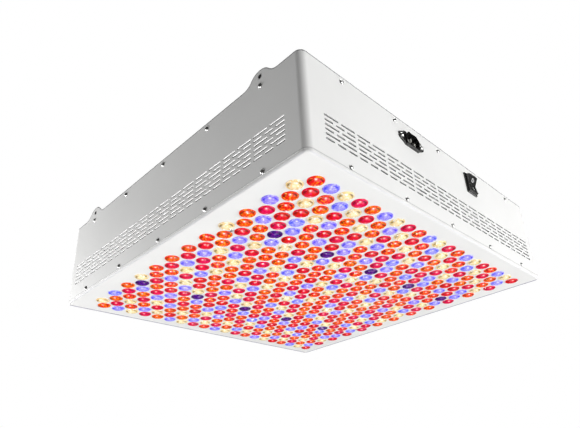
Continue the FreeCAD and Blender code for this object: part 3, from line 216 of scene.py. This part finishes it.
def plate_coat():
    """The coat on the lens plate, with a painted shade line under its folded edge, standing in for
    the darker surroundings that the rounded fold reflects: clear along the +X and +Y sides and
    faint along the others."""
    made, white = powder_coat("white_powder_coat")
    place = made.add("ShaderNodeSeparateXYZ")
    made.join(made.coordinates(), place.inputs["Vector"])
    x, y = place.outputs["X"], place.outputs["Y"]
    far = made.calculate("MAXIMUM", x, y)
    outward = made.calculate(
        "MAXIMUM", made.calculate("ABSOLUTE", x), made.calculate("ABSOLUTE", y)
    )
    line = made.calculate(
        "MAXIMUM",
        made.spread(far, 0.0, 1.0, FAR_LINE_START, FAR_LINE_FULL),
        made.spread(outward, 0.0, NEAR_LINE_STRENGTH, NEAR_LINE_START, NEAR_LINE_FULL),
    )
    below = made.spread(made.true_rise(), 1.0, 0.0, -0.5, -0.2)
    # Painted shade: a grey line under the folded edge, darker along the far sides.
    painted_fold_shade = made.calculate("MULTIPLY", line, below)
    made.join(made.blend(painted_fold_shade, white, FOLD_SHADE_GREY), made.shader.inputs["Base Color"])
    return made.material


EDGE_SHADE_REACH = 2.6 * MM                      # how far the painted edge shade reaches from an edge
# Edges get a painted shade line above the upper heights and below the lower ones, fading between
# each pair.
UPPER_SHADE_START, UPPER_SHADE_FULL = -18 * MM, -15 * MM
LOWER_SHADE_FULL, LOWER_SHADE_START = -121 * MM, -118 * MM
LOWER_SHADE_STRENGTH = 0.45
EDGE_SHADE_GREY = (0.08, 0.08, 0.09)


def sheet_coat(name, painted_underside, painted_lip_glow=0.0):
    """The coat on folded sheet, with a painted shade line along its upper and lower edges, where
    the rounded edge turns away from the light. Faces that look down, such as the upper lips of the
    vents, take a colour of their own: painted light where it is lighter than the coat, painted
    shade where it is darker. They may also glow a little: painted light in place of the light
    that a lamp close below throws on them."""
    made, white = powder_coat(name)
    softened = made.add("ShaderNodeBevel", samples=6)
    softened.inputs["Radius"].default_value = EDGE_SHADE_REACH
    true_rise = made.true_rise()
    turned = made.calculate(
        "SUBTRACT",
        made.calculate("ABSOLUTE", made.rise(softened.outputs["Normal"])),
        made.calculate("ABSOLUTE", true_rise),
    )
    edge = made.spread(turned, 0.0, 1.0, 0.06, 0.30)
    height = made.rise(made.coordinates())
    upper = made.spread(height, 0.0, 1.0, UPPER_SHADE_START, UPPER_SHADE_FULL)
    lower = made.spread(height, LOWER_SHADE_STRENGTH, 0.0, LOWER_SHADE_FULL, LOWER_SHADE_START)
    # Painted shade: a dark line along the upper and lower edges.
    painted_edge_shade = made.calculate("MULTIPLY", edge, made.calculate("MAXIMUM", upper, lower))
    # Painted light or shade by facing: down-facing faces take the underside colour given.
    painted_underside_coat = made.blend(made.spread(true_rise, 1.0, 0.0, -0.9, -0.5), white, painted_underside)
    made.join(made.blend(painted_edge_shade, painted_underside_coat, EDGE_SHADE_GREY), made.shader.inputs["Base Color"])
    # Painted light: the down-facing faces glow.
    if painted_lip_glow:
        made.set(Emission_Color=(1.0, 1.0, 1.0, 1.0))
        glow = made.spread(true_rise, painted_lip_glow, 0.0, -0.9, -0.5)
        made.join(glow, made.shader.inputs["Emission Strength"])
    return made.material


def plastic(name, colour, roughness, coat=0.0):
    """Moulded plastic with a fine grain and slightly uneven gloss."""
    made = Nodes(name)
    darker = tuple(channel * 0.82 for channel in colour)
    patches = made.ramp(made.noise(35.0), ((0.3, darker), (0.7, colour)))
    made.join(patches, made.shader.inputs["Base Color"])
    gloss = made.spread(made.noise(220.0), roughness * 0.85, roughness * 1.2)
    made.join(gloss, made.shader.inputs["Roughness"])
    made.set(Coat_Weight=coat, Coat_Roughness=0.08)
    made.bump(made.noise(1500.0), 0.04 * MM, strength=0.4)
    return made.material


def metal(name, colour, roughness, stretch=(1.0, 1.0, 1.0), scale=400.0, metallic=1.0):
    """Bare or plated metal with fine marks, which may be drawn out along one direction."""
    made = Nodes(name)
    mapping = made.add("ShaderNodeMapping")
    mapping.inputs["Scale"].default_value = stretch
    made.join(made.coordinates(), mapping.inputs["Vector"])
    marks = made.noise(scale, detail=4.0, roughness=0.6, vector=mapping.outputs["Vector"])
    darker = tuple(channel * 0.8 for channel in colour)
    made.join(made.ramp(marks, ((0.25, darker), (0.75, colour))), made.shader.inputs["Base Color"])
    gloss = made.spread(marks, roughness * 0.8, roughness * 1.3)
    made.join(gloss, made.shader.inputs["Roughness"])
    made.set(Metallic=metallic)
    made.bump(marks, 0.03 * MM, strength=0.3)
    return made.material


def circuit_board():
    """White solder mask with the faint waviness of a printed layer."""
    made = Nodes("white_solder_mask")
    wash = made.noise(60.0)
    colour = made.ramp(wash, ((0.3, (0.74, 0.75, 0.72)), (0.7, (0.82, 0.82, 0.79))))
    made.join(colour, made.shader.inputs["Base Color"])
    made.join(made.spread(made.noise(400.0), 0.3, 0.45), made.shader.inputs["Roughness"])
    made.bump(made.noise(700.0), 0.03 * MM, strength=0.3)
    return made.material


# What the lens meshes say of each point: its share of the way from the middle to the rim, how much
#  of a painted shade patch or a painted highlight is there, and a number of the lens's own that
#  shifts its hue.
LENS_LABELS = ("reach", "shade_patch", "lot", "glint")
GLINT_WHITE = (0.92, 0.90, 0.90)          # colour of the painted highlights (flecks)


def lens_material(name, heart, body, edge, spark, glow):
    """Coloured optic: mottled by the emitter behind it, darker over two painted shade patches that
    stand in for the dark surroundings seen through it, with painted highlights (bright flecks) and
    a faint glow of its own. The mesh says where, under the labels."""
    made = Nodes(name)
    shade = tuple((one + other) / 2 for one, other in zip(body, edge))
    reach, shade_patch, lot, glint = (
        made.add("ShaderNodeAttribute", attribute_name=label).outputs["Fac"]
        for label in LENS_LABELS
    )
    rings = made.ramp(
        reach, ((0.0, heart), (0.35, body), (0.72, body), (0.79, shade), (0.86, body))
    )
    mottle = made.spread(made.noise(420.0, detail=1.5), 0.0, 1.0, 0.52, 0.62)
    lit = made.blend(mottle, rings, spark)
    # Painted shade: the edge tone darkens the two patches.
    patch_shaded = made.blend(shade_patch, lit, edge)
    shift = made.add("ShaderNodeHueSaturation")
    made.join(patch_shaded, shift.inputs["Color"])
    made.join(made.spread(lot, 0.492, 0.508, 0.0, 1.0), shift.inputs["Hue"])
    made.join(made.spread(made.noise(60.0), 0.9, 1.1), shift.inputs["Value"])
    # Painted highlights: white flecks over the lens colour.
    glinting = made.blend(glint, shift.outputs["Color"], GLINT_WHITE)
    made.join(glinting, made.shader.inputs["Base Color"])
    made.join(glinting, made.shader.inputs["Emission Color"])
    made.join(made.spread(made.noise(500.0), 0.03, 0.06), made.shader.inputs["Roughness"])
    made.set(IOR=1.49, Specular_IOR_Level=0.4, Emission_Strength=glow)
    made.bump(made.noise(300.0), 0.03 * MM, strength=0.15)
    return made.material


# Heart, body, edge, spark and glow of each colour; the edge tone also paints the shade patches.
LENS_COLOURS = {
    "orange": ((0.80, 0.020, 0.0), (0.68, 0.004, 0.0), (0.10, 0.0, 0.0), (0.95, 0.26, 0.0), 0.40),
    "red": ((0.60, 0.0, 0.034), (0.58, 0.0, 0.012), (0.11, 0.0, 0.002), (0.66, 0.0, 0.085), 0.42),
    "blue": ((0.36, 0.32, 0.87), (0.25, 0.21, 0.82), (0.01, 0.015, 0.76), (0.46, 0.44, 0.92), 0.3),
    "white": ((0.88, 0.78, 0.52), (0.84, 0.62, 0.28), (0.15, 0.08, 0.01), (0.90, 0.86, 0.72), 0.25),
    "violet": ((0.06, 0.0, 0.20), (0.028, 0.0, 0.13), (0.003, 0.0, 0.012), (0.14, 0.0, 0.19), 0.6),
}

WHITE = plate_coat()
# Painted light: the walls' down-facing vent lips are lighter than the coat.
WALL_WHITE = sheet_coat("white_wall_coat", (0.95, 0.95, 0.95))
# Painted light: the left wall's vent lips are lighter than the coat and glow.
LEFT_WHITE = sheet_coat("white_left_wall_coat", (0.95, 0.95, 0.95), painted_lip_glow=0.6)
# Painted shade: the cover's underside, seen through the vents, is near black.
COVER_WHITE = sheet_coat("white_cover_coat", (0.12, 0.12, 0.12))
STEEL = metal("zinc_plated_steel", (0.62, 0.62, 0.61), 0.28)
ALUMINIUM = metal("mill_aluminium", (0.70, 0.71, 0.72), 0.36, (1.0, 0.02, 1.0), 700.0)
DRIVER_CASE = metal("blasted_aluminium", (0.52, 0.54, 0.56), 0.5, scale=1200.0)
BRIGHT_WIRE = metal("bright_wire", (0.74, 0.74, 0.75), 0.16)
CONTACT = metal("nickel_contact", (0.80, 0.79, 0.74), 0.40, metallic=0.25)
BLACK = plastic("black_moulding", (0.012, 0.012, 0.012), 0.24, coat=0.5)
FAN_BLACK = plastic("fan_moulding", (0.022, 0.022, 0.024), 0.5)
CREAM = plastic("cream_moulding", (0.72, 0.69, 0.58), 0.42)
GREEN = plastic("green_insulation", (0.10, 0.36, 0.05), 0.38)
BLUE = plastic("blue_insulation", (0.02, 0.08, 0.42), 0.38)
BROWN = plastic("brown_insulation", (0.16, 0.06, 0.025), 0.38)
MARK = plastic("white_mark", (0.80, 0.80, 0.80), 0.45)
BOARD = circuit_board()
EMITTER = plastic("emitter_cap", (0.85, 0.70, 0.28), 0.2, coat=0.8)
LENSES = {name: lens_material(f"lens_{name}", *tones) for name, tones in LENS_COLOURS.items()}

SLOT_MATERIALS = {
    "white_paint": WHITE, "board": BOARD, "bare_aluminium": ALUMINIUM, "driver_case": DRIVER_CASE,
    "fan_plastic": FAN_BLACK, "guard_wire": BRIGHT_WIRE, "black_plastic": BLACK,
    "plated_contact": CONTACT, "block_plastic": CREAM, "lead_green": GREEN, "lead_blue": BLUE,
    "lead_brown": BROWN, "fixing_steel": STEEL, "emitter": EMITTER,
    **{f"lens_{name}": material for name, material in LENSES.items()},
}
SHEET_MATERIALS = {
    "wall_left": LEFT_WHITE, "wall_front": WALL_WHITE, "wall_back": WALL_WHITE,
    "wall_right": WALL_WHITE, "top_cover": COVER_WHITE,
}


def dress_cad_nodes():
    """Gives every CAD node the finished material of its slot, or the sheet's own."""
    slots = {part["node"]: part["material_slot"] for part in frame["record"]["subparts"]}
    for node, obj in frame["nodes"].items():
        material = SHEET_MATERIALS.get(node) or SLOT_MATERIALS[slots[node]]
        for material_slot in obj.material_slots:
            material_slot.material = material


# ---- lenses ------------------------------------------------------------------------------------


LENS_SEGMENTS = 32
RIM_RADIUS = 9.05 * MM
LENS_TIP = 2.3 * MM                       # drop of the crown's middle below the plate
LENS_CEILING = 3.4 * MM                   # height of the CAD lens's hollow above the plate's face
CEILING_SLACK = 0.05 * MM
# Radius and drop below the plate, in millimetres: crown, valley, lip, flange and side.
LENS_RINGS = (
    (1.4, 2.26), (2.7, 2.14), (3.6, 1.97), (4.5, 1.75), (5.4, 1.42), (6.0, 1.20), (6.5, 1.12),
    (7.0, 1.25), (7.4, 1.40), (7.8, 1.36), (8.1, 1.12), (8.3, 0.84), (8.8, 0.78), (9.0, 0.68),
    (9.05, 0.45), (9.05, -3.0),
)
# Direction of each painted shade patch, its share of the lens's radius, and its spread outwards and
# round.
SHADE_PATCH_ANGLES = (math.radians(160), math.radians(283))
SHADE_PATCH_REACH, SHADE_PATCH_DEPTH, SHADE_PATCH_SPAN = 0.76, 0.17, math.radians(31)


def painted_patch_shade(angle, reach):
    """1 over one of the two painted shade patches, 0 away from them."""
    shade = 0.0
    for shade_patch in SHADE_PATCH_ANGLES:
        turn = math.remainder(angle - shade_patch, 2 * math.pi) / SHADE_PATCH_SPAN
        depth = (reach - SHADE_PATCH_REACH) / SHADE_PATCH_DEPTH
        shade = max(shade, math.exp(-(turn * turn + depth * depth)))
    return shade


# Direction, distance from the middle, spread (round and out) and strength of each painted
# highlight.
GLINTS = (
    (math.radians(225), 5.3 * MM, 1.05 * MM, 1.10 * MM, 1.0),
    (math.radians(45), 5.9 * MM, 1.00 * MM, 0.50 * MM, 0.7),
)
# The faintest painted highlights of a colour against its brightest, and the brightest of each
# colour.
GLINT_LEAST = 0.55
GLINT_SHARE = {"orange": 1.0, "red": 0.85, "blue": 1.0, "white": 1.0, "violet": 0.0}


def glint_shade(angle, radius):
    """Strength of the two painted highlights on an optic, which stand in for the lamps'
    reflections.
    """
    shade = 0.0
    for direction, distance, across, out, strength in GLINTS:
        turn = math.remainder(angle - direction, 2 * math.pi)
        aside = radius * math.sin(turn) / across
        beyond = (radius * math.cos(turn) - distance) / out
        shade = max(shade, strength * math.exp(-(aside * aside + beyond * beyond)))
    return shade


def lens_middles(node):
    """Middle of each lens of a node, from the ring round the top of its hollow in the CAD mesh."""
    mesh = frame["nodes"][node].data
    points = np.empty(len(mesh.vertices) * 3)
    mesh.vertices.foreach_get("co", points)
    points = points.reshape(-1, 3)
    ceiling = points[abs(points[:, 2] - PLATE_Z - LENS_CEILING) < CEILING_SLACK]
    groups = []
    for x, y, _ in ceiling:
        for group in groups:
            if math.hypot(x - group[0][0], y - group[0][1]) < RIM_RADIUS:
                group.append((x, y))
                break
        else:
            groups.append([(x, y)])
    middles = []
    for group in groups:
        spots = np.array(group)
        middles.append(tuple((spots.min(axis=0) + spots.max(axis=0)) / 2))
    return sorted(middles)


def lens_piece(name, seed):
    """All the lenses of one colour as one mesh of turned optics."""
    node = f"lenses_{name}"
    draws = random.Random(seed)
    verts, faces, reach, shade_patch, lot, glint = [], [], [], [], [], []
    for x, y in lens_middles(node):
        start = len(verts)
        tone = draws.random()
        verts.append((x, y, PLATE_Z - LENS_TIP))
        reach.append(0.0)
        shade_patch.append(0.0)
        lot.append(tone)
        glint.append(0.0)
        brightness = draws.uniform(GLINT_LEAST, 1.0) * GLINT_SHARE[name]
        for radius, drop in LENS_RINGS:
            share = radius * MM / RIM_RADIUS
            for segment in range(LENS_SEGMENTS):
                angle = 2 * math.pi * segment / LENS_SEGMENTS
                side = (radius * MM * math.cos(angle), radius * MM * math.sin(angle))
                verts.append((x + side[0], y + side[1], PLATE_Z - drop * MM))
                reach.append(share)
                shade_patch.append(painted_patch_shade(angle, share))
                lot.append(tone)
                glint.append(brightness * glint_shade(angle, radius * MM))
        for segment in range(LENS_SEGMENTS):
            following = (segment + 1) % LENS_SEGMENTS
            faces.append((start, start + 1 + following, start + 1 + segment))
            for ring in range(len(LENS_RINGS) - 1):
                near = start + 1 + ring * LENS_SEGMENTS
                far = near + LENS_SEGMENTS
                faces.append((near + segment, near + following, far + following, far + segment))
        last = start + 1 + (len(LENS_RINGS) - 1) * LENS_SEGMENTS
        faces.append(tuple(last + segment for segment in range(LENS_SEGMENTS)))
    piece = mesh_object(f"optics_{name}", verts, faces)
    for label, values in zip(LENS_LABELS, (reach, shade_patch, lot, glint)):
        attribute = piece.data.attributes.new(label, "FLOAT", "POINT")
        attribute.data.foreach_set("value", values)
    return mount_piece(piece, "casing", f"lens_{name}", LENSES[name], node)


# ---- dark linings in the ear holes, painted shade ----------------------------------------------


LINING_STANDOUT = 0.6 * MM                  # how far a lining stands out of the ear's hole
# Radius and depth of a lining's outline, in millimetres.
LINING_OUTLINE = ((2.48, 0.0), (2.38, -0.12), (2.22, -0.12), (2.1, 0.0), (2.1, 3.0), (2.48, 3.0))
LINING_SEGMENTS = 32


def ear_hole_shade_linings():
    """A black lining in each hanging hole, painted shade deep enough to look black from the side.
    """
    mounts = {mount["name"]: mount for mount in frame["record"]["mounts"]}
    verts, faces = [], []
    for name in ("ears_left", "ears_right"):
        middle = Vector(mounts[name]["pos_m"])
        outward = mounts[name]["axis"][0]
        half_spacing = mounts[name]["dims"]["spacing_x_mm"] / 2 * MM
        for along in (-half_spacing, half_spacing):
            start = len(verts)
            for radius, depth in LINING_OUTLINE:
                for segment in range(LINING_SEGMENTS):
                    angle = 2 * math.pi * segment / LINING_SEGMENTS
                    verts.append((
                        middle.x + outward * (LINING_STANDOUT - depth * MM),
                        middle.y + along + radius * MM * math.cos(angle),
                        middle.z + radius * MM * math.sin(angle),
                    ))
            rings = len(LINING_OUTLINE)
            for ring in range(rings):
                near = start + ring * LINING_SEGMENTS
                far = start + (ring + 1) % rings * LINING_SEGMENTS
                for segment in range(LINING_SEGMENTS):
                    following = (segment + 1) % LINING_SEGMENTS
                    faces.append((near + segment, near + following, far + following, far + segment))
    # Painted shade: black linings darken the hanging holes.
    piece = mesh_object("ear_hole_shade_linings", verts, faces)
    turn_faces_out(piece)
    return mount_piece(piece, "casing", "black_plastic", FAN_BLACK)


# ---- marks on the rocker -----------------------------------------------------------------------


def rocker_surface():
    """A search tree of the rocker's CAD mesh, to lay marks on its face."""
    mesh = frame["nodes"]["switch_rocker"].data
    corners = [vertex.co for vertex in mesh.vertices]
    return BVHTree.FromPolygons(corners, [tuple(face.vertices) for face in mesh.polygons])


MARK_RISE = 0.06 * MM
MARK_SEGMENTS = 32
RING_HEIGHT, RING_INNER, RING_OUTER = 4.8 * MM, 1.6 * MM, 2.6 * MM
BAR_HEIGHT, BAR_REACH, BAR_HALF_WIDTH = -8.0 * MM, 2.4 * MM, 0.45 * MM
CAST_RUN = 20 * MM                        # how far before the wall the search for the face starts


def laid_on(tree, x, z, rise):
    """The point of the rocker's front face at the given place, lifted by a rise."""
    point, normal, _, _ = tree.ray_cast(Vector((x, FRONT_Y - CAST_RUN, z)), Vector((0, 1, 0)))
    return point + normal * rise


def mark_strip(name, tree, inner, outer, closed):
    """A thin raised print between two lines of places on the rocker's face."""
    verts, faces = [], []
    count = len(inner)
    for rise in (-MARK_RISE, MARK_RISE):
        for line in (inner, outer):
            verts += [laid_on(tree, x, z, rise) for x, z in line]
    back_in, back_out, front_in, front_out = 0, count, 2 * count, 3 * count
    round_trip = (front_in, front_out, back_out, back_in, front_in)
    for step in range(count if closed else count - 1):
        following = (step + 1) % count
        for first, second in zip(round_trip, round_trip[1:]):
            faces.append((first + step, first + following, second + following, second + step))
    if not closed:
        for step in (0, count - 1):
            faces.append((back_in + step, back_out + step, front_out + step, front_in + step))
    piece = mesh_object(name, verts, faces, smooth=False)
    turn_faces_out(piece)
    return mount_piece(piece, "rocker", "black_plastic", MARK)


def circle(x, z, radius):
    turns = [2 * math.pi * step / MARK_SEGMENTS for step in range(MARK_SEGMENTS)]
    return [(x + radius * math.cos(turn), z + radius * math.sin(turn)) for turn in turns]


def rocker_marks():
    """The usual ring at the upper end of the rocker and bar at its lower end."""
    tree = rocker_surface()
    low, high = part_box("switch_rocker")
    x, z = (low.x + high.x) / 2, (low.z + high.z) / 2
    ring_z = z + RING_HEIGHT
    inner, outer = circle(x, ring_z, RING_INNER), circle(x, ring_z, RING_OUTER)
    mark_strip("mark_ring", tree, inner, outer, closed=True)
    heights = [z + BAR_HEIGHT + up for up in (-BAR_REACH, 0.0, BAR_REACH)]
    near_side = [(x - BAR_HALF_WIDTH, height) for height in heights]
    far_side = [(x + BAR_HALF_WIDTH, height) for height in heights]
    mark_strip("mark_bar", tree, near_side, far_side, closed=False)


# ---- stage, lights and camera ------------------------------------------------------------------


FLOOR_PALENESS = 0.62
FLOOR_REACH, FLOOR_DROP = 14.0, 3.5       # half the floor's side, and its depth below the origin


def floor():
    """A pale floor that the camera sees bright and that throws only little light on the object."""
    corners = ((-1, -1), (1, -1), (1, 1), (-1, 1))
    verts = [(x * FLOOR_REACH, y * FLOOR_REACH, -FLOOR_DROP) for x, y in corners]
    plane = mesh_object("floor", verts, [(0, 1, 2, 3)], smooth=False)
    made = Nodes("pale_floor")
    shade = made.ramp(made.noise(1.5), ((0.3, (0.80, 0.80, 0.80)), (0.7, (0.83, 0.83, 0.83))))
    made.join(shade, made.shader.inputs["Base Color"])
    made.set(Roughness=0.9, Emission_Color=(1.0, 1.0, 1.0, 1.0))
    seen = made.add("ShaderNodeLightPath").outputs["Is Camera Ray"]
    paleness = made.spread(seen, 0.0, FLOOR_PALENESS, 0.0, 1.0)
    made.join(paleness, made.shader.inputs["Emission Strength"])
    plane.data.materials.append(made.material)


def area_light(name, place, target, width, height, power):
    data = bpy.data.lights.new(name, "AREA")
    data.shape = "RECTANGLE"
    data.size, data.size_y = width, height
    data.energy = power
    lamp = link(bpy.data.objects.new(name, data))
    lamp.location = place
    lamp.rotation_mode = "QUATERNION"
    lamp.rotation_quaternion = (Vector(target) - Vector(place)).to_track_quat("-Z", "Y")
    lamp.visible_camera = False


WORLD_GLOW = 0.07                         # how bright the white backdrop is for all but the camera
# Name, place, target, width, height and power of each soft light.
LIGHTS = (
    ("far_left", (-0.60, 0.84, -0.12), (-0.25, 0.1, -0.07), 0.5, 0.5, 6.6),
    ("under_left", (-0.86, 0.26, -1.12), (-0.2, 0.0, -0.1), 0.4, 0.4, 8.2),
    ("right", (1.1, -0.75, -0.35), (0.1, -0.25, -0.07), 0.6, 0.6, 5.0),
    ("front", (0.4, -2.0, -0.55), (0.0, -0.25, -0.07), 1.2, 0.8, 37.0),
    ("under", (0.72, -0.10, -1.20), (0.12, 0.0, -0.13), 1.0, 1.0, 5.2),
    ("glint", (1.55, 1.55, -2.97), (0.0, 0.0, -0.13), 0.22, 0.22, 25.0),
    ("top", (0.3, -0.2, 1.9), (0.0, 0.0, 0.0), 1.2, 1.2, 32.0),
)


def lights():
    """A white backdrop that lights the object only faintly, and a few large soft lights."""
    world = bpy.data.worlds.new("studio")
    bpy.context.scene.world = world
    world.use_nodes = True
    tree = world.node_tree
    backdrop = tree.nodes["Background"]
    backdrop.inputs["Color"].default_value = (1.0, 1.0, 1.0, 1.0)
    seen = tree.nodes.new("ShaderNodeLightPath").outputs["Is Camera Ray"]
    strength = tree.nodes.new("ShaderNodeMapRange")
    strength.inputs["To Min"].default_value = WORLD_GLOW
    tree.links.new(seen, strength.inputs["Value"])
    tree.links.new(strength.outputs["Result"], backdrop.inputs["Strength"])
    for light in LIGHTS:
        area_light(*light)


CAMERA_PLACE = (-0.5379, -0.5110, -0.4137)
CAMERA_TURNS = (115.766, 3.412, -45.188)  # degrees about X, Y and Z


def camera():
    """The photograph's view: from below, towards the corner between the left and front walls."""
    data = bpy.data.cameras.new("camera")
    data.sensor_width = 36.0
    data.lens = 32.99
    data.shift_x, data.shift_y = -0.0288, 0.0589
    data.clip_start, data.clip_end = 0.02, 60.0
    eye = link(bpy.data.objects.new("camera", data))
    eye.location = CAMERA_PLACE
    eye.rotation_euler = [math.radians(turn) for turn in CAMERA_TURNS]
    bpy.context.scene.camera = eye


# ---- the scene ---------------------------------------------------------------------------------

dress_cad_nodes()
for seed, colour in enumerate(LENS_COLOURS):
    lens_piece(colour, seed)
ear_hole_shade_linings()
rocker_marks()
floor()
lights()
camera()
bpy.context.scene.view_settings.view_transform = "Standard"
